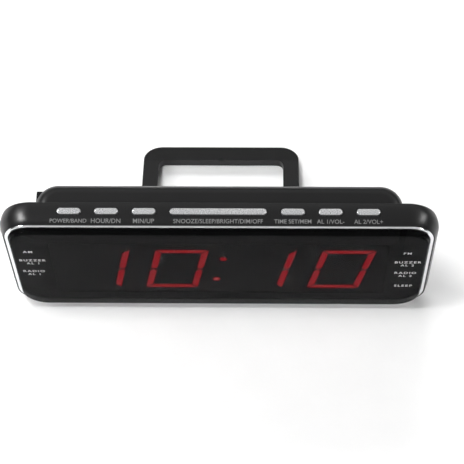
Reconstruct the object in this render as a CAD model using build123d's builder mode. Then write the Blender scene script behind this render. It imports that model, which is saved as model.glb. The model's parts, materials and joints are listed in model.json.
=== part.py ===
from build123d import *
import math
import os

# A mains clock radio: a wide slim case with a smoked lens, seven keys along the top edge, a narrower
# rear pod that holds the speaker and transformer, and a U-shaped prop stand hinged to its back.
#
# Frame: +X to the right as the display is read, +Y to the rear, +Z up.  The origin is at the middle
# of the footprint, on the table.  "Depth" below is measured rearwards from the front of the lens.

# ---- driving dimensions, millimetres --------------------------------------------------------------
TOTAL_DEPTH = 104.6
FRONT_Y = -TOTAL_DEPTH / 2

CASE_HALF = 115.05
CASE_LOW = 1.8
CASE_HIGH = 91.0
CASE_LOW_CORNER = 15.5
CASE_HIGH_CORNER = 17.5
BEZEL_FRONT = 4.05
BEZEL_BACK = 17.1
# crown of the bezel: depth, then how far the sides, top and bottom lie inside the widest outline
BEZEL_STATIONS = (
    (BEZEL_FRONT, 2.45, 1.1, 0.6),
    (5.4, 1.9, 0.45, 0.4),
    (7.2, 1.25, 0.12, 0.2),
    (9.6, 0.4, 0.0, 0.0),
    (12.2, 0.0, 0.0, 0.0),
    (14.8, 0.35, 0.15, 0.2),
    (BEZEL_BACK, 1.2, 0.7, 0.6),
)
BEZEL_FACE = 2.0
INNER_HALF = 110.6
INNER_LOW = 4.6
INNER_HIGH = 88.6
INNER_CORNER = 13.5

TRIM_HALF = 111.75
TRIM_LOW = 2.9
TRIM_HIGH = 89.4
TRIM_WIDTH = 2.1
TRIM_FRONT = 3.1
TRIM_SEAT = 0.8

LENS_HALF = 109.4
LENS_LOW = 5.2
LENS_HIGH = 87.1
LENS_EDGE = 1.3

DIGIT_HALF_WIDTH = 14.15
DIGIT_HALF_HEIGHT = 21.9
STROKE = 3.4
SEGMENT_GAP = 0.45
SLANT = math.tan(math.radians(9.8))
DIGIT_MIDDLE = 38.8
DIGIT_CENTRES = (-65.4, -23.3, 23.3, 65.4)
DIGIT_LIT = ("bc", "abcdef", "bc", "abcdef")
COLON_RISE = 11.8
COLON_RADIUS = 2.0
INDICATORS = (
    (-86.4, 66.0),
    (-86.4, 56.0),
    (-86.4, 43.7),
    (86.4, 66.0),
    (86.4, 55.6),
    (86.4, 43.4),
    (86.4, 29.3),
)
INDICATOR_RADIUS = 0.9

WINDOW_HALF = 90.2
WINDOW_LOW = 12.0
WINDOW_HIGH = 69.0
REFLECTOR_FRONT = 4.9
DIFFUSER_DEPTH = 2.2
DISPLAY_BOARD = 12.2
BOARD_THICK = 1.6
DISPLAY_BOARD_HALF = 99.4
DISPLAY_BOARD_LOW = 9.0
DISPLAY_BOARD_HIGH = 79.0
DISPLAY_SCREWS = ((-95.4, 24), (95.4, 24), (-95.4, 64), (95.4, 64))

KEY_DEPTH = 11.2
KEY_LENGTH = 12.1
SNOOZE_LENGTH = 49.7
KEY_WIDTH = 3.55
KEY_TOP = 91.8
KEY_GAP = 0.4
DISH_RIM = 0.45
DISH_DEPTH = 0.32
KEYS = {
    "power_button": -77.2,
    "hour_button": -57.8,
    "minute_button": -38.4,
    "snooze_button": 0.0,
    "time_set_button": 38.4,
    "alarm_1_button": 57.8,
    "alarm_2_button": 77.2,
}
FLANGE_LOW = 87.0
FLANGE_HIGH = 88.2
SWITCH_TOP = 85.1
STEM_TOP = 85.9
STEM_RADIUS = 1.7
KEY_BOARD_LOW = 80.9
KEY_SCREWS = (-67.5, -28.7, 28.7, 67.5)

PLATE_HALF = 110.3
PLATE_LOW = 4.9
PLATE_HIGH = 88.3
PLATE_FRONT = 14.3
PLATE_BACK = 16.3
CASE_SCREWS = ((-103.5, 13.5), (103.5, 13.5), (-103.5, 78.5), (103.5, 78.5))

POD_HALF = 96.2
POD_HIGH = 86.6
POD_FRONT = 17.3
POD_BACK_LOW = 47.5
POD_LEAN = 11.2
POD_CORNER = 12.0
POD_EDGE = 7.0
WALL = 2.2

SPEAKER_HEIGHT = 46.0
SPEAKER_RADIUS = 26.0
HINGE_DEPTH = 50.5
HINGE_HEIGHT = 15.0
PIN_RADIUS = 1.5
PIN_CLEARANCE = 0.05
STAND_CENTRE = -1.2
STAND_HALF = 45.3
LEG_WIDTH = 9.0
LEG_THICK = 5.0
BAR_FRONT = 93.0
BAR_TOP = 6.4
BAR_CORNER = 10.8
STAND_REST = 0.6
LUG_THICK = 3.0
LUG_GAP = 0.3

TAN_LEAN = math.tan(math.radians(POD_LEAN))
COS_LEAN = math.cos(math.radians(POD_LEAN))
SIN_LEAN = math.sin(math.radians(POD_LEAN))


# ---- shared geometry ------------------------------------------------------------------------------
def at_depth(depth):
    """Sketch plane facing the reader at a depth: local x is +X, local y is +Z, extrusion runs forwards."""
    return Plane.XZ.offset(-(FRONT_Y + depth))


def outline(half, low, high, low_corner, high_corner):
    """Rounded rectangle as seen from the front."""
    with BuildSketch() as shape:
        Rectangle(2 * half, high - low)
        fillet(shape.vertices().group_by(Axis.Y)[0], low_corner)
        fillet(shape.vertices().group_by(Axis.Y)[-1], high_corner)
    return shape.sketch.moved(Location((0, (low + high) / 2, 0)))


def pod_back(height):
    """Depth of the pod's outer rear wall at a height."""
    return POD_BACK_LOW - (height - CASE_LOW) * TAN_LEAN


def pod_solid(inset, front, low, high):
    """The pod's outer form, or its hollow when inset by the wall."""
    slope_inset = inset / COS_LEAN
    corners = [
        (FRONT_Y + front, low),
        (FRONT_Y + pod_back(low) - slope_inset, low),
        (FRONT_Y + pod_back(high) - slope_inset, high),
        (FRONT_Y + front, high),
    ]
    with BuildPart() as pod:
        with BuildSketch(Plane.YZ):
            Polygon(*corners, align=None)
        extrude(amount=POD_HALF - inset, both=True)
        fillet(pod.faces().sort_by(Axis.Y)[-1].edges().filter_by(Axis.X, reverse=True), POD_CORNER - inset)
        fillet(pod.faces().sort_by(Axis.Z)[-1].edges().sort_by(Axis.Y)[1:], POD_EDGE - inset)
    return pod.part


def save(part, name):
    """Label a finished piece and write its STEP file."""
    part.label = name
    export_step(part, f"parts/{name}.step")


LENS_OUTLINE = outline(LENS_HALF, LENS_LOW, LENS_HIGH, 14.0, 12.0)
TRIM_OUTER = outline(TRIM_HALF, TRIM_LOW, TRIM_HIGH, 15.2, 13.7)
TRIM_INNER = outline(TRIM_HALF - TRIM_WIDTH, TRIM_LOW + TRIM_WIDTH, TRIM_HIGH - TRIM_WIDTH, 14.2, 12.2)
INNER_OUTLINE = outline(INNER_HALF, INNER_LOW, INNER_HIGH, INNER_CORNER, INNER_CORNER)
PLATE_OUTLINE = outline(PLATE_HALF, PLATE_LOW, PLATE_HIGH, 13.2, 13.2)
SPEAKER_PLANE = Plane(
    origin=(0, FRONT_Y + pod_back(SPEAKER_HEIGHT), SPEAKER_HEIGHT),
    x_dir=(-1, 0, 0),
    z_dir=(0, COS_LEAN, SIN_LEAN),
)
os.makedirs("parts", exist_ok=True)


# ---- front bezel: the front half of the case -------------------------------------------------------
FRONT_FEET = [(-84, FRONT_Y + 13.9), (84, FRONT_Y + 13.9)]
FRONT_FOOT_SIZE = (24.0, 4.0)
FOOT_SEAT = 0.6

with BuildPart() as front_bezel:
    for depth, sides, top, bottom in BEZEL_STATIONS:
        with BuildSketch(at_depth(depth)):
            add(
                outline(
                    CASE_HALF - sides,
                    CASE_LOW + bottom,
                    CASE_HIGH - top,
                    CASE_LOW_CORNER - (sides + bottom) / 2,
                    CASE_HIGH_CORNER - (sides + top) / 2,
                )
            )
    loft()
    fillet(front_bezel.edges().group_by(Axis.Y)[-1], 0.3)
    with BuildSketch(at_depth(BEZEL_BACK)):
        add(INNER_OUTLINE)
    extrude(amount=BEZEL_BACK - BEZEL_FRONT - BEZEL_FACE, mode=Mode.SUBTRACT)
    # display window through the face
    with BuildSketch(at_depth(BEZEL_BACK)):
        add(outline(WINDOW_HALF, WINDOW_LOW, WINDOW_HIGH, 2.0, 2.0))
    extrude(amount=BEZEL_BACK, mode=Mode.SUBTRACT)
    # groove that seats the trim ring
    with BuildSketch(at_depth(BEZEL_FRONT + TRIM_SEAT)):
        add(TRIM_OUTER)
        add(TRIM_INNER, mode=Mode.SUBTRACT)
    extrude(amount=TRIM_SEAT + 1, mode=Mode.SUBTRACT)
    # bosses for the case screws and the display board screws
    with BuildSketch(at_depth(PLATE_FRONT)):
        with Locations(*CASE_SCREWS):
            Circle(3.4)
    extrude(amount=PLATE_FRONT - BEZEL_FRONT - BEZEL_FACE)
    with BuildSketch(at_depth(DISPLAY_BOARD)):
        with Locations(*DISPLAY_SCREWS):
            Circle(3.0)
    extrude(amount=DISPLAY_BOARD - BEZEL_FRONT - BEZEL_FACE)
    with BuildSketch(at_depth(PLATE_FRONT)):
        with Locations(*CASE_SCREWS):
            Circle(1.3)
    extrude(amount=7.0, mode=Mode.SUBTRACT)
    with BuildSketch(at_depth(DISPLAY_BOARD)):
        with Locations(*DISPLAY_SCREWS):
            Circle(0.95)
    extrude(amount=4.0, mode=Mode.SUBTRACT)
    # bosses that hang from the roof for the key board
    with BuildSketch(Plane.XY.offset(KEY_BOARD_LOW + BOARD_THICK)):
        with Locations(*[(x, FRONT_Y + KEY_DEPTH) for x in KEY_SCREWS]):
            Circle(2.1)
    extrude(amount=INNER_HIGH - KEY_BOARD_LOW - BOARD_THICK)
    with BuildSketch(Plane.XY.offset(KEY_BOARD_LOW + BOARD_THICK)):
        with Locations(*[(x, FRONT_Y + KEY_DEPTH) for x in KEY_SCREWS]):
            Circle(0.95)
    extrude(amount=4.0, mode=Mode.SUBTRACT)
    # key openings through the roof
    for key, centre in KEYS.items():
        length = SNOOZE_LENGTH if key == "snooze_button" else KEY_LENGTH
        with BuildSketch(Plane.XY.offset(INNER_HIGH - 0.1)):
            with Locations((centre, FRONT_Y + KEY_DEPTH)):
                SlotOverall(length + 2 * KEY_GAP, KEY_WIDTH + 2 * KEY_GAP)
        extrude(amount=5, mode=Mode.SUBTRACT)
    # seats for the front feet
    with BuildSketch(Plane.XY.offset(CASE_LOW - 0.1)):
        with Locations(*FRONT_FEET):
            SlotOverall(*FRONT_FOOT_SIZE)
    extrude(amount=FOOT_SEAT + 0.1, mode=Mode.SUBTRACT)
save(front_bezel.part, "front_bezel")

# ---- trim ring ---------------------------------------------------------------------------------------
with BuildPart() as chrome_trim:
    with BuildSketch(at_depth(BEZEL_FRONT + TRIM_SEAT)):
        add(TRIM_OUTER)
        add(TRIM_INNER, mode=Mode.SUBTRACT)
    extrude(amount=BEZEL_FRONT + TRIM_SEAT - TRIM_FRONT)
    fillet(chrome_trim.edges().group_by(Axis.Y)[0], 0.7)
save(chrome_trim.part, "chrome_trim")

# ---- display lens: a smoked plate that stands proud of the trim ---------------------------------------
with BuildPart() as display_lens:
    with BuildSketch(at_depth(BEZEL_FRONT)):
        add(LENS_OUTLINE)
    extrude(amount=BEZEL_FRONT)
    fillet(display_lens.edges().group_by(Axis.Y)[0], LENS_EDGE)
save(display_lens.part, "display_lens")

# ---- seven-segment display ----------------------------------------------------------------------------
def segment_points(name):
    """Corner points of one segment about its digit's middle, before the slant."""
    w = DIGIT_HALF_WIDTH
    h = DIGIT_HALF_HEIGHT
    t = STROKE
    g = SEGMENT_GAP
    bar = [(-w + 1.5 * g, h), (w - 1.5 * g, h), (w - t - 1.5 * g, h - t), (-w + t + 1.5 * g, h - t)]
    post = [(w, h - g), (w, t / 2 + g), (w - t / 2, g), (w - t, t / 2 + g), (w - t, h - t - g)]
    middle = [(-w + t / 2 + g, 0), (-w + t + g, t / 2), (w - t - g, t / 2)]
    if name == "a":
        return bar
    if name == "d":
        return [(u, -v) for u, v in bar]
    if name == "b":
        return post
    if name == "c":
        return [(u, -v) for u, v in post]
    if name == "e":
        return [(-u, -v) for u, v in post]
    if name == "f":
        return [(-u, v) for u, v in post]
    return middle + [(-u, -v) for u, v in middle]


def slanted(centre, points):
    """Place a digit's points on the face, leaning to the right as they rise."""
    return [(centre + u + v * SLANT, DIGIT_MIDDLE + v) for u, v in points]


def segment_outlines(lit):
    """Outlines of every segment that is lit, or of every one that isn't."""
    found = []
    for centre, names in zip(DIGIT_CENTRES, DIGIT_LIT):
        for name in "abcdefg":
            if (name in names) == lit:
                found.append(slanted(centre, segment_points(name)))
    return found


COLON_DOTS = [(v * SLANT, DIGIT_MIDDLE + v) for v in (COLON_RISE, -COLON_RISE)]
DIFFUSER_BACK = REFLECTOR_FRONT + DIFFUSER_DEPTH

for piece, lit in (("display_segments_lit", True), ("display_segments_unlit", False)):
    with BuildPart() as segments:
        with BuildSketch(at_depth(DIFFUSER_BACK)):
            for points in segment_outlines(lit):
                Polygon(*points, align=None)
        extrude(amount=DIFFUSER_DEPTH)
    save(segments.part, piece)

with BuildPart() as display_colon:
    with BuildSketch(at_depth(DIFFUSER_BACK)):
        with Locations(*COLON_DOTS):
            Circle(COLON_RADIUS)
    extrude(amount=DIFFUSER_DEPTH)
save(display_colon.part, "display_colon")

with BuildPart() as indicator_windows:
    with BuildSketch(at_depth(DIFFUSER_BACK)):
        with Locations(*INDICATORS):
            Circle(INDICATOR_RADIUS)
    extrude(amount=DIFFUSER_DEPTH)
save(indicator_windows.part, "indicator_windows")

with BuildPart() as display_reflector:
    with BuildSketch(at_depth(DISPLAY_BOARD)):
        add(outline(WINDOW_HALF - 0.3, WINDOW_LOW + 0.3, WINDOW_HIGH - 0.3, 1.7, 1.7))
        for points in segment_outlines(True) + segment_outlines(False):
            Polygon(*points, align=None, mode=Mode.SUBTRACT)
        with Locations(*COLON_DOTS):
            Circle(COLON_RADIUS, mode=Mode.SUBTRACT)
        with Locations(*INDICATORS):
            Circle(INDICATOR_RADIUS, mode=Mode.SUBTRACT)
    extrude(amount=DISPLAY_BOARD - REFLECTOR_FRONT)
save(display_reflector.part, "display_reflector")

CHIP_SIZE = 1.2
SEGMENT_CENTRES = {
    "a": (0, DIGIT_HALF_HEIGHT - STROKE / 2),
    "b": (DIGIT_HALF_WIDTH - STROKE / 2, DIGIT_HALF_HEIGHT / 2),
    "c": (DIGIT_HALF_WIDTH - STROKE / 2, -DIGIT_HALF_HEIGHT / 2),
    "d": (0, STROKE / 2 - DIGIT_HALF_HEIGHT),
    "e": (STROKE / 2 - DIGIT_HALF_WIDTH, -DIGIT_HALF_HEIGHT / 2),
    "f": (STROKE / 2 - DIGIT_HALF_WIDTH, DIGIT_HALF_HEIGHT / 2),
    "g": (0, 0),
}
with BuildPart() as led_chips:
    with BuildSketch(at_depth(DISPLAY_BOARD)):
        for centre in DIGIT_CENTRES:
            with Locations(*slanted(centre, SEGMENT_CENTRES.values())):
                Rectangle(CHIP_SIZE, CHIP_SIZE)
        with Locations(*COLON_DOTS, *INDICATORS):
            Rectangle(CHIP_SIZE, CHIP_SIZE)
    extrude(amount=0.8)
save(led_chips.part, "led_chips")

# ---- boards -------------------------------------------------------------------------------------------
SCREW_SHANK = 0.93
SCREW_HEAD = 2.0
SCREW_HEAD_HEIGHT = 1.3
SCREW_REACH = 3.6
MAIN_BOARD = 16.8
MAIN_BACK = MAIN_BOARD + BOARD_THICK
MAIN_SCREWS = ((38, 25), (86, 25), (38, 67), (86, 67))
KEY_BOARD_TOP = KEY_BOARD_LOW + BOARD_THICK

with BuildPart() as display_pcb:
    with BuildSketch(at_depth(DISPLAY_BOARD + BOARD_THICK)):
        add(outline(DISPLAY_BOARD_HALF, DISPLAY_BOARD_LOW, DISPLAY_BOARD_HIGH, 2.0, 2.0))
        with Locations(*DISPLAY_SCREWS):
            Circle(1.2, mode=Mode.SUBTRACT)
    extrude(amount=BOARD_THICK)
save(display_pcb.part, "display_pcb")

with BuildPart() as key_pcb:
    with BuildSketch(Plane.XY.offset(KEY_BOARD_LOW)):
        with Locations((0, FRONT_Y + 12.1)):
            Rectangle(180, 9.8)
        with Locations(*[(x, FRONT_Y + KEY_DEPTH) for x in KEY_SCREWS]):
            Circle(1.2, mode=Mode.SUBTRACT)
    extrude(amount=BOARD_THICK)
save(key_pcb.part, "key_pcb")

with BuildPart() as main_pcb:
    with BuildSketch(at_depth(MAIN_BACK)):
        with Locations((61.75, 46)):
            Rectangle(57.5, 52)
        with Locations(*MAIN_SCREWS):
            Circle(1.2, mode=Mode.SUBTRACT)
    extrude(amount=BOARD_THICK)
save(main_pcb.part, "main_pcb")

with BuildPart() as board_header:
    with BuildSketch(at_depth(MAIN_BOARD)):
        with Locations((58, 46)):
            Rectangle(25, 2.6)
    extrude(amount=MAIN_BOARD - DISPLAY_BOARD - BOARD_THICK)
save(board_header.part, "board_header")

with BuildPart() as key_ribbon:
    with BuildSketch(Plane.YZ.offset(60)):
        with Locations((FRONT_Y + 15.5, (KEY_BOARD_LOW + 69) / 2)):
            Rectangle(0.4, KEY_BOARD_LOW - 69)
        with Locations((FRONT_Y + 16.05, 69.2)):
            Rectangle(1.5, 0.4)
    extrude(amount=16)
save(key_ribbon.part, "key_ribbon")

with BuildPart() as processor_chip:
    with BuildSketch(at_depth(MAIN_BACK + 3.4)):
        with Locations((62, 50)):
            Rectangle(26, 9)
    extrude(amount=3.4)
    chamfer(processor_chip.edges().group_by(Axis.Y)[-1], 0.4)
save(processor_chip.part, "processor_chip")

with BuildPart() as radio_chip:
    with BuildSketch(at_depth(MAIN_BACK + 2.2)):
        with Locations((74, 34)):
            Rectangle(12, 7.5)
    extrude(amount=2.2)
    chamfer(radio_chip.edges().group_by(Axis.Y)[-1], 0.3)
save(radio_chip.part, "radio_chip")

with BuildPart() as filter_capacitors:
    for spot, radius, height in (((48, 36), 5.0, 11.0), ((60, 31), 4.0, 9.0), ((47, 58), 3.2, 7.0)):
        with BuildSketch(at_depth(MAIN_BACK + height)):
            with Locations(spot):
                Circle(radius)
        extrude(amount=height)
save(filter_capacitors.part, "filter_capacitors")

with BuildPart() as clock_crystal:
    with BuildSketch(at_depth(MAIN_BACK + 3.0)):
        with Locations((82, 50)):
            SlotOverall(8, 3.6)
    extrude(amount=3.0)
save(clock_crystal.part, "clock_crystal")

# ---- keys, switch housings and stems ------------------------------------------------------------------
with BuildPart() as key_switches:
    with BuildSketch(Plane.XY.offset(KEY_BOARD_TOP)):
        with Locations(*[(x, FRONT_Y + KEY_DEPTH) for x in KEYS.values()]):
            RectangleRounded(6, 6, 0.5)
    extrude(amount=SWITCH_TOP - KEY_BOARD_TOP)
    with BuildSketch(Plane.XY.offset(KEY_BOARD_TOP + 0.3)):
        with Locations(*[(x, FRONT_Y + KEY_DEPTH) for x in KEYS.values()]):
            Circle(STEM_RADIUS + 0.15)
    extrude(amount=SWITCH_TOP - KEY_BOARD_TOP, mode=Mode.SUBTRACT)
save(key_switches.part, "key_switches")

for key, centre in KEYS.items():
    length = SNOOZE_LENGTH if key == "snooze_button" else KEY_LENGTH
    with BuildPart() as cap:
        with BuildSketch(Plane.XY.offset(FLANGE_HIGH - 0.2)):
            with Locations((centre, FRONT_Y + KEY_DEPTH)):
                SlotOverall(length, KEY_WIDTH)
        extrude(amount=KEY_TOP - FLANGE_HIGH + 0.2)
        fillet(cap.edges().group_by(Axis.Z)[-1], 0.3)
        # shallow dish in the top, with sloping sides
        with BuildSketch(Plane.XY.offset(KEY_TOP)):
            with Locations((centre, FRONT_Y + KEY_DEPTH)):
                SlotOverall(length - 2 * DISH_RIM, KEY_WIDTH - 2 * DISH_RIM)
        extrude(amount=-DISH_DEPTH, taper=50, mode=Mode.SUBTRACT)
        # flange that stops the cap under the roof, and the post that meets the switch stem
        with BuildSketch(Plane.XY.offset(FLANGE_LOW)):
            with Locations((centre, FRONT_Y + KEY_DEPTH)):
                SlotOverall(length + 2.0, KEY_WIDTH + 2.0)
        extrude(amount=FLANGE_HIGH - FLANGE_LOW)
        with BuildSketch(Plane.XY.offset(STEM_TOP)):
            with Locations((centre, FRONT_Y + KEY_DEPTH)):
                Circle(1.5)
        extrude(amount=FLANGE_LOW - STEM_TOP)
    save(cap.part, key)
    with BuildPart() as stem:
        with BuildSketch(Plane.XY.offset(KEY_BOARD_TOP + 1.0)):
            with Locations((centre, FRONT_Y + KEY_DEPTH)):
                Circle(STEM_RADIUS)
        extrude(amount=STEM_TOP - KEY_BOARD_TOP - 1.0)
    save(stem.part, key.replace("_button", "_switch_stem"))

# ---- rear cover: the plate behind the bezel and the pod that stands out of it -------------------------
GLAND_OUT = 96.0
GLAND_IN = 84.0
GLAND_DEPTHS = (19.4, 28.4)
GLAND_HEIGHTS = (71.5, 81.5)
CORD_RADIUS = 1.9
BAY_HALF = 31.3
BAY_INNER_HALF = 27.4
BAY_DEPTHS = (18.7, 43.5)
BAY_INNER_DEPTHS = (20.3, 42.3)
BAY_TOP = 17.0
BAY_INNER_TOP = 15.4
DOOR_HALF = 28.9
DOOR_FRONT = 19.9
DOOR_LIP = 9.0
RAIL_REACH = 1.3
GRILLE_RADIUS = 23.0
GRILLE_PITCH = 4.0
GRILLE_SLOT = 1.9
SPEAKER_SCREW_CIRCLE = 28.8
REAR_FEET = [(-80, FRONT_Y + 38), (80, FRONT_Y + 38)]
REAR_FOOT_RADIUS = 5.0
HINGE_Y = FRONT_Y + HINGE_DEPTH
LEG_INNER = STAND_HALF - LEG_WIDTH
LUG_FACES = (LEG_INNER - LUG_GAP - LUG_THICK, STAND_HALF + LUG_GAP)
BAR_BACK = TOTAL_DEPTH
LEG_SLOPE = math.atan((HINGE_HEIGHT - BAR_TOP + LEG_THICK / 2 + 0.1) / (BAR_FRONT - HINGE_DEPTH))
CORE_X = (-86.0, -52.0)
CORE_LOW = 6.0
CORE_HEIGHT = 28.0
BRACKET_FEET = (-89.4, -48.6)
ROD_DEPTH = 23.5
ROD_HEIGHT = 79.0


def along_leg(distance, rise):
    """Side-view point on a stand leg: distance from the hinge towards the bar, rise off its middle."""
    c = math.cos(LEG_SLOPE)
    s = math.sin(LEG_SLOPE)
    return (HINGE_Y + distance * c + rise * s, HINGE_HEIGHT - distance * s + rise * c)


STOP_POINT = along_leg(5.6, -LEG_THICK / 2 - 1.7)

with BuildPart() as rear_cover:
    with BuildSketch(at_depth(PLATE_BACK)):
        add(PLATE_OUTLINE)
    extrude(amount=PLATE_BACK - PLATE_FRONT)
    # neck that joins the plate to the pod just behind the bezel's rim
    with BuildSketch(at_depth(POD_FRONT + 0.5)):
        add(outline(POD_HALF, PLATE_LOW, POD_HIGH, 2.0, POD_EDGE))
    extrude(amount=POD_FRONT + 0.5 - PLATE_BACK)
    add(pod_solid(0, POD_FRONT, CASE_LOW, POD_HIGH))
    # hollow of the pod, and the window through the plate
    add(pod_solid(WALL, POD_FRONT + 2.0, CASE_LOW + WALL, POD_HIGH - WALL), mode=Mode.SUBTRACT)
    with BuildSketch(at_depth(POD_FRONT + 2.5)):
        add(outline(92.4, 7.0, POD_HIGH - WALL - 0.4, 2.0, 4.4))
    extrude(amount=POD_FRONT, mode=Mode.SUBTRACT)
    # pockets that clear the heads of the display board's screws
    with BuildSketch(at_depth(PLATE_FRONT + 1.2)):
        with Locations(*DISPLAY_SCREWS):
            Circle(2.5)
    extrude(amount=2, mode=Mode.SUBTRACT)
    # holes for the case screws
    with BuildSketch(at_depth(PLATE_BACK + 1)):
        with Locations(*CASE_SCREWS):
            Circle(1.6)
    extrude(amount=5, mode=Mode.SUBTRACT)
    # posts for the main board
    for x, z in MAIN_SCREWS:
        with BuildSketch(at_depth(pod_back(z) - 1.0)):
            with Locations((x, z)):
                Circle(2.8)
        extrude(amount=pod_back(z) - 1.0 - MAIN_BACK)
        with BuildSketch(at_depth(MAIN_BACK + 4.0)):
            with Locations((x, z)):
                Circle(0.95)
        extrude(amount=4.0, mode=Mode.SUBTRACT)
    # speaker bosses and grille slots in the sloping rear wall
    with BuildSketch(SPEAKER_PLANE.offset(-WALL - 1.2)):
        with PolarLocations(SPEAKER_SCREW_CIRCLE, 4, start_angle=45):
            Circle(2.4)
    extrude(amount=WALL)
    with BuildSketch(SPEAKER_PLANE.offset(-WALL - 1.5)):
        with PolarLocations(SPEAKER_SCREW_CIRCLE, 4, start_angle=45):
            Circle(0.95)
    extrude(amount=2.9, mode=Mode.SUBTRACT)
    rows = int(GRILLE_RADIUS // GRILLE_PITCH)
    for row in range(-rows, rows + 1):
        rise = row * GRILLE_PITCH
        chord = 2 * math.sqrt(GRILLE_RADIUS**2 - rise**2)
        with BuildSketch(SPEAKER_PLANE.offset(1)):
            with Locations((0, rise)):
                SlotOverall(chord, GRILLE_SLOT)
        extrude(amount=-WALL - 2, mode=Mode.SUBTRACT)
    # battery bay, open below for its door
    with BuildSketch(Plane.XY.offset(CASE_LOW + WALL - 0.1)):
        with Locations((0, FRONT_Y + sum(BAY_DEPTHS) / 2)):
            Rectangle(2 * BAY_HALF, BAY_DEPTHS[1] - BAY_DEPTHS[0])
    extrude(amount=BAY_TOP - CASE_LOW - WALL + 0.1)
    with BuildSketch(Plane.XY.offset(CASE_LOW)):
        with Locations((0, FRONT_Y + sum(BAY_INNER_DEPTHS) / 2)):
            Rectangle(2 * BAY_INNER_HALF, BAY_INNER_DEPTHS[1] - BAY_INNER_DEPTHS[0])
    extrude(amount=BAY_INNER_TOP - CASE_LOW, mode=Mode.SUBTRACT)
    # door opening, with a groove down each side for the door's rails
    with BuildSketch(Plane.YZ):
        with Locations((FRONT_Y + DOOR_FRONT - 0.3, CASE_LOW - 0.5)):
            Rectangle(40, 2.6, align=(Align.MIN, Align.MIN))
        with Locations((FRONT_Y + BAY_INNER_DEPTHS[1] - 0.1, CASE_LOW - 0.5)):
            Rectangle(10, DOOR_LIP + 0.75 - CASE_LOW, align=(Align.MIN, Align.MIN))
    extrude(amount=DOOR_HALF + 0.3, both=True, mode=Mode.SUBTRACT)
    with BuildSketch(Plane.YZ):
        with Locations((FRONT_Y + DOOR_FRONT + 0.3, CASE_LOW + 0.7)):
            Rectangle(40, 1.4, align=(Align.MIN, Align.MIN))
    extrude(amount=DOOR_HALF + RAIL_REACH + 0.3, both=True, mode=Mode.SUBTRACT)
    # hinge lugs with the stop bar that the open stand rests on
    for side in (-1, 1):
        for face in LUG_FACES:
            start = STAND_CENTRE + side * (face + LUG_THICK / 2)
            with BuildSketch(Plane.YZ.offset(start)):
                with Locations((HINGE_Y, HINGE_HEIGHT)):
                    Circle(4.2)
                with Locations(STOP_POINT):
                    Circle(1.5)
                for height in (8.0, 22.0):
                    with Locations((FRONT_Y + pod_back(height) - 1.1, height)):
                        Circle(0.6)
                make_hull()
            extrude(amount=LUG_THICK / 2, both=True)
        with BuildSketch(Plane.YZ.offset(STAND_CENTRE + side * (LEG_INNER + LEG_WIDTH / 2))):
            with Locations(STOP_POINT):
                Circle(1.5)
        extrude(amount=LEG_WIDTH / 2 + 1, both=True)
    with BuildSketch(Plane.YZ.offset(STAND_CENTRE)):
        with Locations((HINGE_Y, HINGE_HEIGHT)):
            Circle(PIN_RADIUS)
    extrude(amount=LUG_FACES[1] + LUG_THICK + 1, both=True, mode=Mode.SUBTRACT)
    # pads under the transformer
    with BuildSketch(Plane.XY.offset(CASE_LOW + WALL - 0.1)):
        with Locations((sum(CORE_X) / 2, FRONT_Y + 27.5)):
            Rectangle(48, 13)
    extrude(amount=CORE_LOW - CASE_LOW - WALL + 0.1)
    with BuildSketch(Plane.XY.offset(CORE_LOW - 3)):
        with Locations(*[(x, FRONT_Y + 27.5) for x in BRACKET_FEET]):
            Circle(0.95)
    extrude(amount=4, mode=Mode.SUBTRACT)
    # square hole for the cord gland
    with Locations((-(GLAND_OUT + GLAND_IN) / 2, FRONT_Y + sum(GLAND_DEPTHS) / 2, sum(GLAND_HEIGHTS) / 2)):
        Box(
            GLAND_OUT - GLAND_IN,
            GLAND_DEPTHS[1] - GLAND_DEPTHS[0],
            GLAND_HEIGHTS[1] - GLAND_HEIGHTS[0],
            mode=Mode.SUBTRACT,
        )
    # seats for the rear feet
    with BuildSketch(Plane.XY.offset(CASE_LOW - 0.1)):
        with Locations(*REAR_FEET):
            Circle(REAR_FOOT_RADIUS)
    extrude(amount=FOOT_SEAT + 0.1, mode=Mode.SUBTRACT)
save(rear_cover.part, "rear_cover")

# ---- feet ---------------------------------------------------------------------------------------------
with BuildPart() as case_feet:
    with BuildSketch(Plane.XY):
        with Locations(*FRONT_FEET):
            SlotOverall(*FRONT_FOOT_SIZE)
        with Locations(*REAR_FEET):
            Circle(REAR_FOOT_RADIUS)
    extrude(amount=CASE_LOW + FOOT_SEAT)
save(case_feet.part, "case_feet")

# ---- cord gland: a square block with a bore for the lead ----------------------------------------------
with BuildPart() as cord_gland:
    with Locations((-(GLAND_OUT + GLAND_IN) / 2, FRONT_Y + sum(GLAND_DEPTHS) / 2, sum(GLAND_HEIGHTS) / 2)):
        Box(GLAND_OUT - GLAND_IN, GLAND_DEPTHS[1] - GLAND_DEPTHS[0], GLAND_HEIGHTS[1] - GLAND_HEIGHTS[0])
        Cylinder(CORD_RADIUS, 2 * GLAND_OUT, rotation=(0, 90, 0), mode=Mode.SUBTRACT)
    fillet(cord_gland.edges().group_by(Axis.X)[0].filter_by(GeomType.LINE), 0.5)
save(cord_gland.part, "cord_gland")

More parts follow.
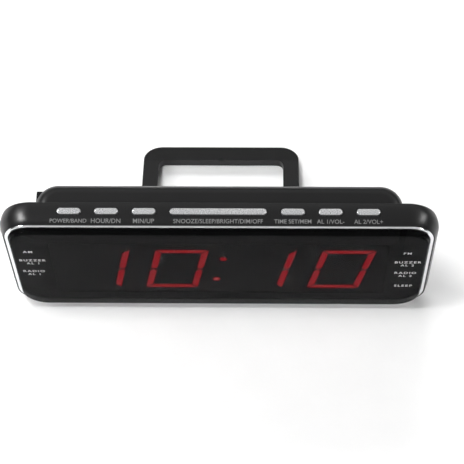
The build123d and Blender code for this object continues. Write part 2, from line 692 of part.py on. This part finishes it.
# ---- prop stand ---------------------------------------------------------------------------------------
NOTCH_RADIUS = 4.0
NOTCH_DEPTH = 0.6
with BuildPart() as stand:
    with BuildSketch(Plane.YZ.offset(STAND_CENTRE)):
        with BuildLine():
            Polyline(
                along_leg(0, LEG_THICK / 2),
                (FRONT_Y + BAR_FRONT + 0.3, BAR_TOP),
                (FRONT_Y + BAR_BACK, STAND_REST + 1.4),
                (FRONT_Y + BAR_BACK, STAND_REST),
                (FRONT_Y + BAR_FRONT - 0.6, STAND_REST),
                along_leg(0, -LEG_THICK / 2),
                close=True,
            )
        make_face()
        with Locations((HINGE_Y, HINGE_HEIGHT)):
            Circle(4.0)
    extrude(amount=STAND_HALF, both=True)
    with BuildSketch(Plane.XY.offset(-1)):
        with Locations((STAND_CENTRE, HINGE_Y - 6)):
            Rectangle(2 * STAND_HALF, TOTAL_DEPTH - HINGE_DEPTH + 6, align=(Align.CENTER, Align.MIN))
        fillet(vertices().group_by(Axis.Y)[-1], BAR_CORNER)
        with Locations((STAND_CENTRE, HINGE_Y - 10)):
            Rectangle(
                2 * LEG_INNER,
                BAR_FRONT - HINGE_DEPTH + 10,
                align=(Align.CENTER, Align.MIN),
                mode=Mode.SUBTRACT,
            )
    extrude(amount=40, mode=Mode.INTERSECT)
    inner_corners = stand.edges().filter_by(Axis.Z).filter_by(
        lambda e: abs(e.center().Y - FRONT_Y - BAR_FRONT) < 0.2
        and abs(abs(e.center().X - STAND_CENTRE) - LEG_INNER) < 0.2
    )
    fillet(inner_corners, 4.0)
    with BuildSketch(Plane.YZ.offset(STAND_CENTRE)):
        with Locations((HINGE_Y, HINGE_HEIGHT)):
            Circle(PIN_RADIUS + PIN_CLEARANCE)
    extrude(amount=STAND_HALF + 1, both=True, mode=Mode.SUBTRACT)
    # thumb notch in the middle of the bar's top edge
    with BuildSketch(at_depth(BAR_FRONT + 2.2)):
        with Locations((STAND_CENTRE, BAR_TOP - NOTCH_DEPTH + NOTCH_RADIUS)):
            Circle(NOTCH_RADIUS)
    extrude(amount=5, mode=Mode.SUBTRACT)
    # seats for the foot pads
    STAND_FEET = [(STAND_CENTRE + u, FRONT_Y + 97.0) for u in (-30, 30)]
    with BuildSketch(Plane.XY.offset(STAND_REST - 0.1)):
        with Locations(*STAND_FEET):
            Circle(3.0)
    extrude(amount=0.9, mode=Mode.SUBTRACT)
save(stand.part, "stand")

with BuildPart() as stand_foot_pads:
    with BuildSketch(Plane.XY):
        with Locations(*STAND_FEET):
            Circle(3.0)
    extrude(amount=STAND_REST + 0.8)
save(stand_foot_pads.part, "stand_foot_pads")

with BuildPart() as stand_hinge_pins:
    for side in (-1, 1):
        with BuildSketch(Plane.YZ.offset(STAND_CENTRE + side * LUG_FACES[0])):
            with Locations((HINGE_Y, HINGE_HEIGHT)):
                Circle(PIN_RADIUS)
        extrude(amount=side * (LUG_FACES[1] + LUG_THICK - LUG_FACES[0]))
save(stand_hinge_pins.part, "stand_hinge_pins")

# ---- battery door, cells and contacts -----------------------------------------------------------------
CELL_RADIUS = 5.2
CELL_HALF = 22.0
CELL_HEIGHT = CASE_LOW + 2.2 + CELL_RADIUS
CELL_DEPTHS = (25.8, 36.8)
DOOR_LOW = CASE_LOW + 0.1
DOOR_TOP = CASE_LOW + 1.9
with BuildPart() as battery_door:
    with BuildSketch(Plane.YZ):
        Polygon(
            (FRONT_Y + DOOR_FRONT, DOOR_LOW),
            (FRONT_Y + pod_back(DOOR_LOW), DOOR_LOW),
            (FRONT_Y + pod_back(DOOR_LIP), DOOR_LIP),
            (FRONT_Y + pod_back(DOOR_LIP) - WALL, DOOR_LIP),
            (FRONT_Y + pod_back(DOOR_TOP) - WALL, DOOR_TOP),
            (FRONT_Y + DOOR_FRONT, DOOR_TOP),
            align=None,
        )
    extrude(amount=DOOR_HALF, both=True)
    with BuildSketch(Plane.YZ):
        with Locations((FRONT_Y + DOOR_FRONT + 0.8, CASE_LOW + 0.9)):
            Rectangle(21.5, 1.0, align=(Align.MIN, Align.MIN))
    extrude(amount=DOOR_HALF + RAIL_REACH, both=True)
    # finger ridges across the underside near the rear lip
    with BuildSketch(Plane.XY.offset(DOOR_LOW)):
        with Locations((0, FRONT_Y + 42)):
            with GridLocations(0, 1.8, 1, 4):
                Rectangle(18, 0.8)
    extrude(amount=0.5, mode=Mode.SUBTRACT)
save(battery_door.part, "battery_door")

with BuildPart() as battery_cells:
    for turn, depth in zip((1, -1), CELL_DEPTHS):
        with Locations((0, FRONT_Y + depth, CELL_HEIGHT)):
            Cylinder(CELL_RADIUS, 2 * CELL_HALF - 1, rotation=(0, 90, 0))
        with Locations((turn * (CELL_HALF - 0.25), FRONT_Y + depth, CELL_HEIGHT)):
            Cylinder(1.9, 1.5, rotation=(0, 90, 0))
save(battery_cells.part, "battery_cells")

with BuildPart() as battery_contacts:
    for depth in CELL_DEPTHS:
        for side in (-1, 1):
            with BuildSketch(Plane.YZ.offset(side * BAY_INNER_HALF)):
                with Locations((FRONT_Y + depth, CELL_HEIGHT)):
                    Rectangle(8, 8)
            extrude(amount=-side * 0.4)
            with BuildSketch(Plane.YZ.offset(side * (BAY_INNER_HALF - 0.4))):
                with Locations((FRONT_Y + depth, CELL_HEIGHT)):
                    Circle(3.0)
            extrude(amount=-side * (BAY_INNER_HALF - CELL_HALF - 1.05), taper=8)
save(battery_contacts.part, "battery_contacts")

# ---- speaker ------------------------------------------------------------------------------------------
SPEAKER_FACE = -WALL
with BuildPart(SPEAKER_PLANE) as speaker_frame:
    with Locations((0, 0, SPEAKER_FACE - 0.6)):
        Cylinder(SPEAKER_RADIUS, 1.2)
    with Locations((0, 0, SPEAKER_FACE - 4.6)):
        Cone(14.0, 23.5, 6.8)
    with Locations((0, 0, SPEAKER_FACE - 4.1)):
        Cone(13.4, 22.9, 6.8, mode=Mode.SUBTRACT)
    with Locations((0, 0, SPEAKER_FACE - 0.6)):
        Cylinder(22.4, 1.4, mode=Mode.SUBTRACT)
    with Locations((-17.5, 0, SPEAKER_FACE - 7.5)):
        Box(9, 8, 1.0)
save(speaker_frame.part, "speaker_frame")

with BuildPart(SPEAKER_PLANE) as speaker_cone:
    with Locations((0, 0, SPEAKER_FACE - 3.6)):
        Cone(6.5, 20.8, 4.6)
    with Locations((0, 0, SPEAKER_FACE - 3.0)):
        Cone(6.5, 20.8, 4.6, mode=Mode.SUBTRACT)
    with Locations((0, 0, SPEAKER_FACE - 5.0)):
        Cylinder(6.9, 0.8)
save(speaker_cone.part, "speaker_cone")

with BuildPart(SPEAKER_PLANE) as speaker_magnet:
    with Locations((0, 0, SPEAKER_FACE - 8.0 - 3.2)):
        Cylinder(14.0, 6.4)
    fillet(speaker_magnet.edges().filter_by(GeomType.CIRCLE), 0.5)
save(speaker_magnet.part, "speaker_magnet")

# ---- transformer --------------------------------------------------------------------------------------
CORE_MID = sum(CORE_X) / 2
with BuildPart() as transformer_core:
    with BuildSketch(at_depth(33)):
        with Locations((CORE_MID, CORE_LOW + CORE_HEIGHT / 2)):
            Rectangle(CORE_X[1] - CORE_X[0], CORE_HEIGHT)
            with GridLocations(17.5, 0, 2, 1):
                Rectangle(6.5, 18, mode=Mode.SUBTRACT)
    extrude(amount=11)
save(transformer_core.part, "transformer_core")

with BuildPart() as transformer_coil:
    with BuildSketch(Plane.XY.offset(CORE_LOW + 5.3)):
        with Locations((CORE_MID, FRONT_Y + 27.5)):
            RectangleRounded(23.6, 18, 2.5)
            Rectangle(11.2, 11.2, mode=Mode.SUBTRACT)
    extrude(amount=CORE_HEIGHT - 10.6)
save(transformer_coil.part, "transformer_coil")

with BuildPart() as transformer_bracket:
    with BuildSketch(at_depth(30)):
        with Locations((CORE_MID, CORE_LOW)):
            Rectangle(35.6, CORE_HEIGHT + 0.8, align=(Align.CENTER, Align.MIN))
            Rectangle(48, 0.8, align=(Align.CENTER, Align.MIN))
            Rectangle(34, CORE_HEIGHT, align=(Align.CENTER, Align.MIN), mode=Mode.SUBTRACT)
    extrude(amount=5)
    with Locations(*[(x, FRONT_Y + 27.5, CORE_LOW) for x in BRACKET_FEET]):
        Cylinder(1.2, 4, mode=Mode.SUBTRACT)
save(transformer_bracket.part, "transformer_bracket")

# ---- ferrite rod aerial -------------------------------------------------------------------------------
with BuildPart() as ferrite_rod:
    with Locations((51, FRONT_Y + ROD_DEPTH, ROD_HEIGHT)):
        Cylinder(4.0, 66, rotation=(0, 90, 0))
save(ferrite_rod.part, "ferrite_rod")

with BuildPart() as antenna_coil:
    with Locations((33, FRONT_Y + ROD_DEPTH, ROD_HEIGHT)):
        Cylinder(4.9, 22, rotation=(0, 90, 0))
        Cylinder(4.05, 30, rotation=(0, 90, 0), mode=Mode.SUBTRACT)
save(antenna_coil.part, "antenna_coil")

with BuildPart() as rod_clips:
    for x in (52, 74):
        with BuildSketch(Plane.YZ.offset(x)):
            with Locations((FRONT_Y + ROD_DEPTH, ROD_HEIGHT)):
                Circle(5.0)
            with Locations((FRONT_Y + MAIN_BACK, 64)):
                Rectangle(1.6, 7, align=(Align.MIN, Align.MIN))
            make_hull()
            with Locations((FRONT_Y + ROD_DEPTH, ROD_HEIGHT)):
                Circle(4.05, mode=Mode.SUBTRACT)
        extrude(amount=3)
save(rod_clips.part, "rod_clips")

# ---- leads inside the case ----------------------------------------------------------------------------
def lead(points, radii, thickness):
    """A round lead along straight runs joined by tangent arcs."""
    places = [(x, FRONT_Y + depth, z) for x, depth, z in points]
    with BuildPart() as wire:
        with BuildLine() as path:
            FilletPolyline(*places, radius=radii)
        with BuildSketch(Plane(origin=path.line @ 0, z_dir=path.line % 0)):
            Circle(thickness / 2)
        sweep()
    return wire.part


INLET_PATH = [(-86, 24, 76.5), (-76, 24, 76.5), (-70, 22, 60), (-69, 20.2, 45), (-69, 20.2, 28.7)]
save(lead(INLET_PATH, [6, 20, 20], 3.0), "inlet_lead")

SUPPLY_PATH = [
    (-62, 20.2, 28.7),
    (-62, 20.2, 34),
    (-46, 21, 34),
    (-30, 22, 29.8),
    (43.5, 22, 29.8),
    (43.5, 18.4, 29.8),
]
save(lead(SUPPLY_PATH, [2.2, 8, 8, 1.6], 1.6), "supply_lead")

with BuildPart() as speaker_leads:
    for rise in (-1.4, 1.4):
        path = [(22, 28.9, 44.1), (30, 28.2, 44.4), (37, 24, 45.3), (37, MAIN_BACK, 45.3)]
        add(lead([(x, depth, z + rise) for x, depth, z in path], [5, 4], 1.1))
save(speaker_leads.part, "speaker_leads")

# ---- screws -------------------------------------------------------------------------------------------
with BuildPart() as case_screws:
    with BuildSketch(at_depth(PLATE_BACK)):
        with Locations(*CASE_SCREWS):
            Circle(1.28)
    extrude(amount=8.0)
    with BuildSketch(at_depth(PLATE_BACK + 1.8)):
        with Locations(*CASE_SCREWS):
            Circle(2.8)
    extrude(amount=1.8)
    fillet(case_screws.edges().group_by(Axis.Y)[-1], 0.6)
    with BuildSketch(at_depth(PLATE_BACK + 1.8)):
        with Locations(*CASE_SCREWS):
            Rectangle(3.0, 0.6)
            Rectangle(0.6, 3.0)
    extrude(amount=0.8, mode=Mode.SUBTRACT)
save(case_screws.part, "case_screws")


def small_screws(plane, spots, reach=SCREW_REACH):
    """Pan-head screws seated on a plane, heads out along its normal."""
    with BuildPart() as screws:
        with BuildSketch(plane):
            with Locations(*spots):
                Circle(SCREW_SHANK)
        extrude(amount=-reach)
        with BuildSketch(plane):
            with Locations(*spots):
                Circle(SCREW_HEAD)
        extrude(amount=SCREW_HEAD_HEIGHT)
    return screws.part


# sketch planes whose normals point the way each screw's head faces
REARWARD = Plane(origin=(0, FRONT_Y + DISPLAY_BOARD + BOARD_THICK, 0), x_dir=(-1, 0, 0), z_dir=(0, 1, 0))
DOWNWARD = Plane(origin=(0, FRONT_Y + KEY_DEPTH, KEY_BOARD_LOW), x_dir=(1, 0, 0), z_dir=(0, 0, -1))
UPWARD = Plane.XY.offset(CORE_LOW + 0.8)

with BuildPart() as board_screws:
    add(small_screws(REARWARD, [(-x, z) for x, z in DISPLAY_SCREWS]))
    add(small_screws(at_depth(MAIN_BOARD), MAIN_SCREWS))
    add(small_screws(DOWNWARD, [(x, 0) for x in KEY_SCREWS]))
    add(small_screws(UPWARD, [(x, FRONT_Y + 27.5) for x in BRACKET_FEET]))
save(board_screws.part, "board_screws")

with BuildPart() as speaker_screws:
    with BuildSketch(SPEAKER_PLANE.offset(-WALL - 1.2)):
        with PolarLocations(SPEAKER_SCREW_CIRCLE, 4, start_angle=45):
            Circle(3.1)
    extrude(amount=-1.4)
    with BuildSketch(SPEAKER_PLANE.offset(-WALL - 1.2)):
        with PolarLocations(SPEAKER_SCREW_CIRCLE, 4, start_angle=45):
            Circle(SCREW_SHANK)
    extrude(amount=2.4)
save(speaker_screws.part, "speaker_screws")
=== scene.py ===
import json

import bmesh
import bpy
from mathutils import Matrix, Vector


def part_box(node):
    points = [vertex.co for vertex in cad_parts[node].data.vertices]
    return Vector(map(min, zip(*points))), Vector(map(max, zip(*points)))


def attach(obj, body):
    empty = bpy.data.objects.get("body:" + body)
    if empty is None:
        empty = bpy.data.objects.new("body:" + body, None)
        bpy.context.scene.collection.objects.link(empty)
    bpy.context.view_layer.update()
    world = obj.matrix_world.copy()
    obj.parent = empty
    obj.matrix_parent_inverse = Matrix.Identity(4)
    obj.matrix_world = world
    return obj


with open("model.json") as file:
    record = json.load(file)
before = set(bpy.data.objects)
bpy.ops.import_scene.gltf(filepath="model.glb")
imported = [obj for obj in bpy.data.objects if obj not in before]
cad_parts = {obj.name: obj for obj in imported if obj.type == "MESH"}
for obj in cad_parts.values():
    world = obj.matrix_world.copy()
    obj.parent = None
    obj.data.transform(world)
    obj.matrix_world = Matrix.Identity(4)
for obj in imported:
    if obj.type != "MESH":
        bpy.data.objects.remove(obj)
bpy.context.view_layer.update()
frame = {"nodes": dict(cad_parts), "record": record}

NODES = frame["nodes"]
SLOT_OF = {part["node"]: part["material_slot"] for part in frame["record"]["subparts"]}


# ---- materials -------------------------------------------------------------------------------------
# a colour mix keeps its colour sockets at these places
MIX_FIRST, MIX_SECOND, MIX_RESULT = 6, 7, 2
# a wave texture of scale one repeats after this many metres
WAVE_LENGTH = 0.314


class Surface:
    """A node material in object space, where one unit is a metre."""

    def __init__(self, name, **constants):
        self.material = bpy.data.materials.new(name)
        self.material.use_nodes = True
        self.tree = self.material.node_tree
        self.shader = self.tree.nodes["Principled BSDF"]
        self.place = self.tree.nodes.new("ShaderNodeTexCoord").outputs["Object"]
        for socket, value in constants.items():
            self.shader.inputs[socket.replace("_", " ")].default_value = value

    def node(self, kind, **settings):
        made = self.tree.nodes.new(kind)
        for key, value in settings.items():
            setattr(made, key, value)
        return made

    def link(self, source, target):
        self.tree.links.new(source, target)

    def stretched(self, scale):
        mapping = self.node("ShaderNodeMapping")
        mapping.inputs["Scale"].default_value = scale
        self.link(self.place, mapping.inputs["Vector"])
        return mapping.outputs["Vector"]

    def noise(self, grain, detail=2.0, rough=0.5, place=None):
        """Noise whose features are about grain metres across."""
        made = self.node("ShaderNodeTexNoise")
        made.inputs["Scale"].default_value = 1.0 / grain
        made.inputs["Detail"].default_value = detail
        made.inputs["Roughness"].default_value = rough
        self.link(place or self.place, made.inputs["Vector"])
        return made.outputs["Fac"]

    def span(self, factor, low, high, start=0.3, end=0.7):
        """factor from start to end becomes low to high."""
        made = self.node("ShaderNodeMapRange")
        for socket, value in zip(("From Min", "From Max", "To Min", "To Max"), (start, end, low, high)):
            made.inputs[socket].default_value = value
        self.link(factor, made.inputs["Value"])
        return made.outputs["Result"]

    def blend(self, factor, first, second):
        """A mix of two colours."""
        made = self.node("ShaderNodeMix", data_type="RGBA")
        self.link(factor, made.inputs["Factor"])
        made.inputs[MIX_FIRST].default_value = (*first, 1.0)
        made.inputs[MIX_SECOND].default_value = (*second, 1.0)
        return made.outputs[MIX_RESULT]

    def colour(self, socket):
        self.link(socket, self.shader.inputs["Base Color"])

    def roughness(self, socket):
        self.link(socket, self.shader.inputs["Roughness"])

    def bump(self, factor, depth):
        """Relief of depth metres."""
        made = self.node("ShaderNodeBump")
        made.inputs["Distance"].default_value = depth
        made.inputs["Strength"].default_value = 1.0
        self.link(factor, made.inputs["Height"])
        self.link(made.outputs["Normal"], self.shader.inputs["Normal"])


def moulded(name, dark, light, rough=(0.4, 0.5), grain=0.0004, relief=0.00002, **constants):
    """Injection-moulded plastic: soft tonal drift, fine spark-eroded grain."""
    s = Surface(name, **constants)
    drift = s.noise(0.03, 3.0)
    fine = s.noise(grain, 1.0)
    s.colour(s.blend(s.span(drift, 0.0, 1.0), dark, light))
    s.roughness(s.span(fine, *rough))
    s.bump(fine, relief)
    return s.material


def metal(name, dark, light, rough, grain=0.0006):
    """Bare or plated metal: slight clouding of tone and gloss."""
    s = Surface(name, Metallic=1.0)
    clouds = s.noise(grain, 3.0, 0.6)
    s.colour(s.blend(s.span(clouds, 0.0, 1.0), dark, light))
    s.roughness(s.span(clouds, *rough))
    s.bump(clouds, 0.000005)
    return s.material


def banded(name, first, second, pitch, axis, rough=0.5, relief=0.0001, **constants):
    """Windings or laminations: fine bands across one axis."""
    s = Surface(name, Roughness=rough, **constants)
    wave = s.node("ShaderNodeTexWave", bands_direction=axis)
    wave.inputs["Scale"].default_value = WAVE_LENGTH / pitch
    wave.inputs["Distortion"].default_value = 0.4
    s.link(s.place, wave.inputs["Vector"])
    s.colour(s.blend(wave.outputs["Fac"], first, second))
    s.bump(wave.outputs["Fac"], relief)
    return s.material


def smoked_lens():
    s = Surface("smoked_lens", Alpha=0.75, Specular_IOR_Level=0.04)
    smear = s.noise(0.02, 4.0, 0.6, s.stretched((1.0, 1.0, 2.5)))
    s.colour(s.blend(s.span(smear, 0.0, 1.0), (0.0009, 0.00095, 0.0011), (0.0014, 0.00145, 0.0016)))
    s.roughness(s.span(smear, 0.05, 0.09))
    return s.material


def lit_segment():
    s = Surface("segment_red", Roughness=0.5)
    grain = s.noise(0.0005, 2.0)
    glow = s.blend(s.span(grain, 0.0, 1.0), (0.68, 0.0, 0.012), (0.80, 0.0, 0.016))
    s.colour(glow)
    s.link(glow, s.shader.inputs["Emission Color"])
    s.shader.inputs["Emission Strength"].default_value = 4.4
    return s.material


MATERIALS = {
    "case_black": moulded("case_black", (0.0055, 0.0055, 0.0057), (0.0065, 0.0065, 0.0067), (0.28, 0.34),
                          Specular_IOR_Level=0.25),
    "bright_chrome": metal("bright_chrome", (0.72, 0.73, 0.74), (0.78, 0.79, 0.80), (0.06, 0.1), 0.004),
    "smoked_lens": smoked_lens(),
    "segment_red": lit_segment(),
    "segment_dark": moulded("segment_dark", (0.014, 0.013, 0.014), (0.02, 0.018, 0.019), (0.45, 0.6)),
    "reflector_black": moulded("reflector_black", (0.010, 0.010, 0.011), (0.014, 0.014, 0.015),
                               (0.6, 0.7)),
    "led_epoxy": moulded("led_epoxy", (0.5, 0.1, 0.1), (0.6, 0.15, 0.12), (0.2, 0.3), 0.001),
    "board_green": moulded("board_green", (0.012, 0.07, 0.03), (0.02, 0.1, 0.045), (0.25, 0.4),
                           0.0015, 0.00003),
    "connector_white": moulded("connector_white", (0.62, 0.60, 0.52), (0.70, 0.68, 0.60)),
    "ribbon_grey": banded("ribbon_grey", (0.22, 0.22, 0.24), (0.34, 0.34, 0.36), 0.00127, "X"),
    "chip_black": moulded("chip_black", (0.012, 0.012, 0.012), (0.02, 0.02, 0.02), (0.5, 0.65)),
    "capacitor_sleeve": moulded("capacitor_sleeve", (0.01, 0.015, 0.06), (0.015, 0.02, 0.08), (0.2, 0.3)),
    "bright_steel": metal("bright_steel", (0.42, 0.42, 0.43), (0.56, 0.56, 0.57), (0.25, 0.4)),
    "rubber_black": moulded("rubber_black", (0.010, 0.010, 0.010), (0.017, 0.017, 0.017), (0.75, 0.9),
                            0.0006, 0.00005),
    # painted shade: this black is darker and less glossy than the case's black, standing in for the
    # shadow the gland sits in
    "gland_black": moulded("gland_black", (0.004, 0.004, 0.004), (0.006, 0.006, 0.006), (0.5, 0.65),
                           Specular_IOR_Level=0.1),
    "cell_jacket": moulded("cell_jacket", (0.03, 0.10, 0.14), (0.04, 0.13, 0.17), (0.15, 0.25), 0.002),
    "cone_paper": moulded("cone_paper", (0.012, 0.012, 0.012), (0.03, 0.03, 0.03),
                          (0.8, 0.95), 0.0007, 0.0001),
    "magnet_black": moulded("magnet_black", (0.02, 0.02, 0.02), (0.035, 0.035, 0.035), (0.4, 0.6)),
    "lead_red": moulded("lead_red", (0.25, 0.012, 0.012), (0.32, 0.018, 0.018), (0.35, 0.45)),
    "lead_black": moulded("lead_black", (0.012, 0.012, 0.012), (0.018, 0.018, 0.018), (0.4, 0.5)),
    "core_steel": banded("core_steel", (0.10, 0.09, 0.08), (0.18, 0.17, 0.16), 0.0007, "Y", Metallic=0.8),
    "coil_tape": moulded("coil_tape", (0.42, 0.30, 0.05), (0.52, 0.40, 0.08), (0.2, 0.35), 0.003),
    "ferrite": moulded("ferrite", (0.03, 0.03, 0.032), (0.05, 0.05, 0.052), (0.4, 0.6)),
    "copper_wire": banded("copper_wire", (0.22, 0.07, 0.02), (0.6, 0.24, 0.09), 0.0005, "X", 0.3,
                          Metallic=1.0),
    "screw_black": metal("screw_black", (0.03, 0.03, 0.032), (0.06, 0.06, 0.062), (0.35, 0.5)),
    "key_silver": moulded("key_silver", (0.50, 0.505, 0.51), (0.56, 0.565, 0.57),
                          (0.24, 0.3), 0.0003, 0.00001, Metallic=0.7),
    "stem_white": moulded("stem_white", (0.6, 0.6, 0.58), (0.7, 0.7, 0.68)),
    "print_grey": moulded("print_grey", (0.13, 0.13, 0.13), (0.16, 0.16, 0.16), (0.5, 0.6)),
    "print_white": moulded("print_white", (0.70, 0.70, 0.70), (0.78, 0.78, 0.78), (0.5, 0.6)),
    "floor_white": moulded("floor_white", (0.93, 0.93, 0.93), (0.95, 0.95, 0.95),
                           (0.8, 0.9), 0.002, 0.00002, Specular_IOR_Level=0.1),
}

for name, node in NODES.items():
    node.data.materials.clear()
    node.data.materials.append(MATERIALS[SLOT_OF[name]])


# ---- printed labels ----------------------------------------------------------------------------------
RIGHT = Vector((1, 0, 0))
BACK = Vector((0, 1, 0))
UP = Vector((0, 0, 1))
INK = 0.00002
ROWS = 8
EMBOLDEN = 0.012
RAY_START = 0.02


def printed(name, words, base, centre, across, up, size, material, spacing):
    """Lettering laid onto the surface of base, so that it follows a curved face."""
    curve = bpy.data.curves.new(name, "FONT")
    curve.body = words
    curve.align_x = "CENTER"
    curve.align_y = "CENTER"
    curve.size = size
    curve.space_character = spacing
    curve.offset = size * EMBOLDEN
    flat = bpy.data.objects.new(name + "_flat", curve)
    bpy.context.collection.objects.link(flat)
    bpy.context.view_layer.update()
    depsgraph = bpy.context.evaluated_depsgraph_get()
    shape = bpy.data.meshes.new_from_object(flat.evaluated_get(depsgraph))
    bpy.data.objects.remove(flat)
    cut = bmesh.new()
    cut.from_mesh(shape)
    for row in range(1, ROWS):
        level = (0, size * (row / ROWS - 0.5), 0)
        everything = cut.verts[:] + cut.edges[:] + cut.faces[:]
        bmesh.ops.bisect_plane(cut, geom=everything, plane_co=level, plane_no=(0, 1, 0))
    out = across.cross(up)
    for vert in cut.verts:
        spot = centre + across * vert.co.x + up * vert.co.y
        hit, place, normal, _ = base.ray_cast(spot + out * RAY_START, -out)
        vert.co = place + normal * INK if hit else spot
    cut.to_mesh(shape)
    cut.free()
    shape.materials.clear()
    shape.materials.append(MATERIALS[material])
    label = bpy.data.objects.new(name, shape)
    bpy.context.collection.objects.link(label)
    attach(label, "case")


LENS_LOW, LENS_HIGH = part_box("display_lens")
CAPTION_SETBACK = 0.0018
KEY_SPACING = 1.02
LENS_SPACING = 1.3
# key, caption and letter height
KEY_WORDS = {
    "power_button": ("POWER/BAND", 0.0029),
    "hour_button": ("HOUR/DN", 0.0033),
    "minute_button": ("MIN/UP", 0.0033),
    "snooze_button": ("SNOOZE/SLEEP/BRIGHT/DIM/OFF", 0.0031),
    "time_set_button": ("TIME SET/MEM", 0.0030),
    "alarm_1_button": ("AL 1/VOL-", 0.0031),
    "alarm_2_button": ("AL 2/VOL+", 0.0031),
}
for key, (words, size) in KEY_WORDS.items():
    low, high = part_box(key)
    centre = Vector(((low.x + high.x) / 2, LENS_HIGH.y + CAPTION_SETBACK, high.z))
    printed(key + "_label", words, NODES["front_bezel"], centre, RIGHT, BACK, size, "print_grey",
            KEY_SPACING)

# side of the lens, distance in from that side, height over the lens's lower edge, words, letter height
SIDE_WORDS = [
    ("left", 0.0089, 0.0618, "AM", 0.0032),
    ("left", 0.0102, 0.0523, "BUZZER", 0.0032),
    ("left", 0.0104, 0.0488, "AL 1", 0.0030),
    ("left", 0.0096, 0.0398, "RADIO", 0.0032),
    ("left", 0.0096, 0.0363, "AL 1", 0.0030),
    ("right", 0.0105, 0.0618, "FM", 0.0032),
    ("right", 0.0096, 0.0518, "BUZZER", 0.0032),
    ("right", 0.0096, 0.0483, "AL 2", 0.0030),
    ("right", 0.0100, 0.0396, "RADIO", 0.0032),
    ("right", 0.0098, 0.0361, "AL 2", 0.0030),
    ("right", 0.0100, 0.0243, "SLEEP", 0.0032),
]
for number, (side, inset, height, words, size) in enumerate(SIDE_WORDS, 1):
    x = LENS_LOW.x + inset if side == "left" else LENS_HIGH.x - inset
    centre = Vector((x, LENS_LOW.y, LENS_LOW.z + height))
    printed(f"lens_label_{number}", words, NODES["display_lens"], centre, RIGHT, UP, size, "print_white",
            LENS_SPACING)

# ---- floor, light and camera -------------------------------------------------------------------------
FLOOR_HALF = 3
floor_corners = [(x * FLOOR_HALF, y * FLOOR_HALF, 0) for x, y in ((-1, -1), (1, -1), (1, 1), (-1, 1))]
floor_mesh = bpy.data.meshes.new("floor")
floor_mesh.from_pydata(floor_corners, [], [(0, 1, 2, 3)])
floor_mesh.materials.append(MATERIALS["floor_white"])
floor = bpy.data.objects.new("floor", floor_mesh)
bpy.context.collection.objects.link(floor)

world = bpy.data.worlds.new("studio")
world.use_nodes = True
sky = world.node_tree
backdrop = sky.nodes["Background"]
backdrop.inputs["Color"].default_value = (1.0, 1.0, 1.0, 1.0)


def sky_math(operation, *terms):
    """A maths node on the sky; each term is a number or a socket."""
    step = sky.nodes.new("ShaderNodeMath")
    step.operation = operation
    for socket, term in zip(step.inputs, terms):
        if isinstance(term, float):
            socket.default_value = term
        else:
            sky.links.new(term, socket)
    return step.outputs["Value"]


# Diffuse light gets the even glow only.  The backdrop is white to the camera, and in reflections it
# runs by height: dim near the horizon, bright above it, half bright overhead.
EVEN_GLOW = 0.04
BACKDROP = 0.9
SKY_BY_HEIGHT = ((0.0, 0.10), (0.30, 0.16), (0.46, 0.95), (0.70, 0.95), (0.86, 0.50), (1.0, 0.55))
ray_kind = sky.nodes.new("ShaderNodeLightPath")
direction = sky.nodes.new("ShaderNodeSeparateXYZ")
sky.links.new(sky.nodes.new("ShaderNodeTexCoord").outputs["Generated"], direction.inputs["Vector"])
ceiling = sky.nodes.new("ShaderNodeFloatCurve")
profile = ceiling.mapping.curves[0].points
profile[0].location, profile[1].location = SKY_BY_HEIGHT[0], SKY_BY_HEIGHT[-1]
for height, strength in SKY_BY_HEIGHT[1:-1]:
    profile.new(height, strength)
ceiling.mapping.update()
sky.links.new(direction.outputs["Z"], ceiling.inputs["Value"])
glossy_ray, camera_ray = ray_kind.outputs["Is Glossy Ray"], ray_kind.outputs["Is Camera Ray"]
mirrored = sky_math("MULTIPLY_ADD", glossy_ray, ceiling.outputs["Value"], EVEN_GLOW)
seen = sky_math("MULTIPLY_ADD", camera_ray, BACKDROP, mirrored)
sky.links.new(seen, backdrop.inputs["Strength"])
scene = bpy.context.scene
scene.world = world
scene.view_settings.view_transform = "Standard"


def softbox(name, place, size, power, aim=None):
    """A rectangular light: aimed ones show only in reflections, the others only light surfaces."""
    light = bpy.data.lights.new(name, "AREA")
    light.shape = "RECTANGLE"
    light.size, light.size_y = size
    light.energy = power
    holder = bpy.data.objects.new(name, light)
    bpy.context.collection.objects.link(holder)
    holder.location = place
    if aim:
        holder.rotation_euler = (Vector(place) - Vector(aim)).to_track_quat("Z", "Y").to_euler()
        holder.visible_diffuse = False
    else:
        holder.visible_glossy = False


softbox("overhead", (-0.30, -0.08, 1.20), (0.30, 0.30), 8.0)
softbox("left_box", (-1.35, 0.00, 1.20), (0.30, 0.60), 15.0)
softbox("left_front_box", (-1.05, -1.05, 1.20), (0.60, 0.60), 11.0)
softbox("right_front_box", (1.05, -1.05, 1.20), (0.60, 0.60), 16.0)
softbox("rear_box", (-0.30, 1.35, 1.20), (1.40, 0.70), 33.0)
softbox("left_glow", (-0.92, 0.30, 1.08), (0.27, 0.27), 21.0, (-0.11, -0.04, 0.075))
softbox("right_glow", (1.25, 0.40, 0.75), (0.22, 0.22), 7.0, (0.11, -0.04, 0.075))

VIEW_RIGHT = Vector((0.9998, 0.0131, -0.0159)).normalized()
VIEW_AHEAD = Vector((-0.0202, 0.4758, -0.8793)).normalized()
VIEW_UP = VIEW_RIGHT.cross(VIEW_AHEAD).normalized()
FOCAL_LENGTH = 123.65
SENSOR_WIDTH = 36.0
FRAME_SHIFT = 0.0139
CAMERA_PLACE = (0.02039, -0.44025, 0.80702)
optics = bpy.data.cameras.new("camera")
optics.lens = FOCAL_LENGTH
optics.sensor_width = SENSOR_WIDTH
optics.shift_x = FRAME_SHIFT
camera = bpy.data.objects.new("camera", optics)
bpy.context.collection.objects.link(camera)
turn = Matrix((VIEW_RIGHT, VIEW_UP, -VIEW_AHEAD)).transposed().to_4x4()
camera.matrix_world = Matrix.Translation(CAMERA_PLACE) @ turn
scene.camera = camera
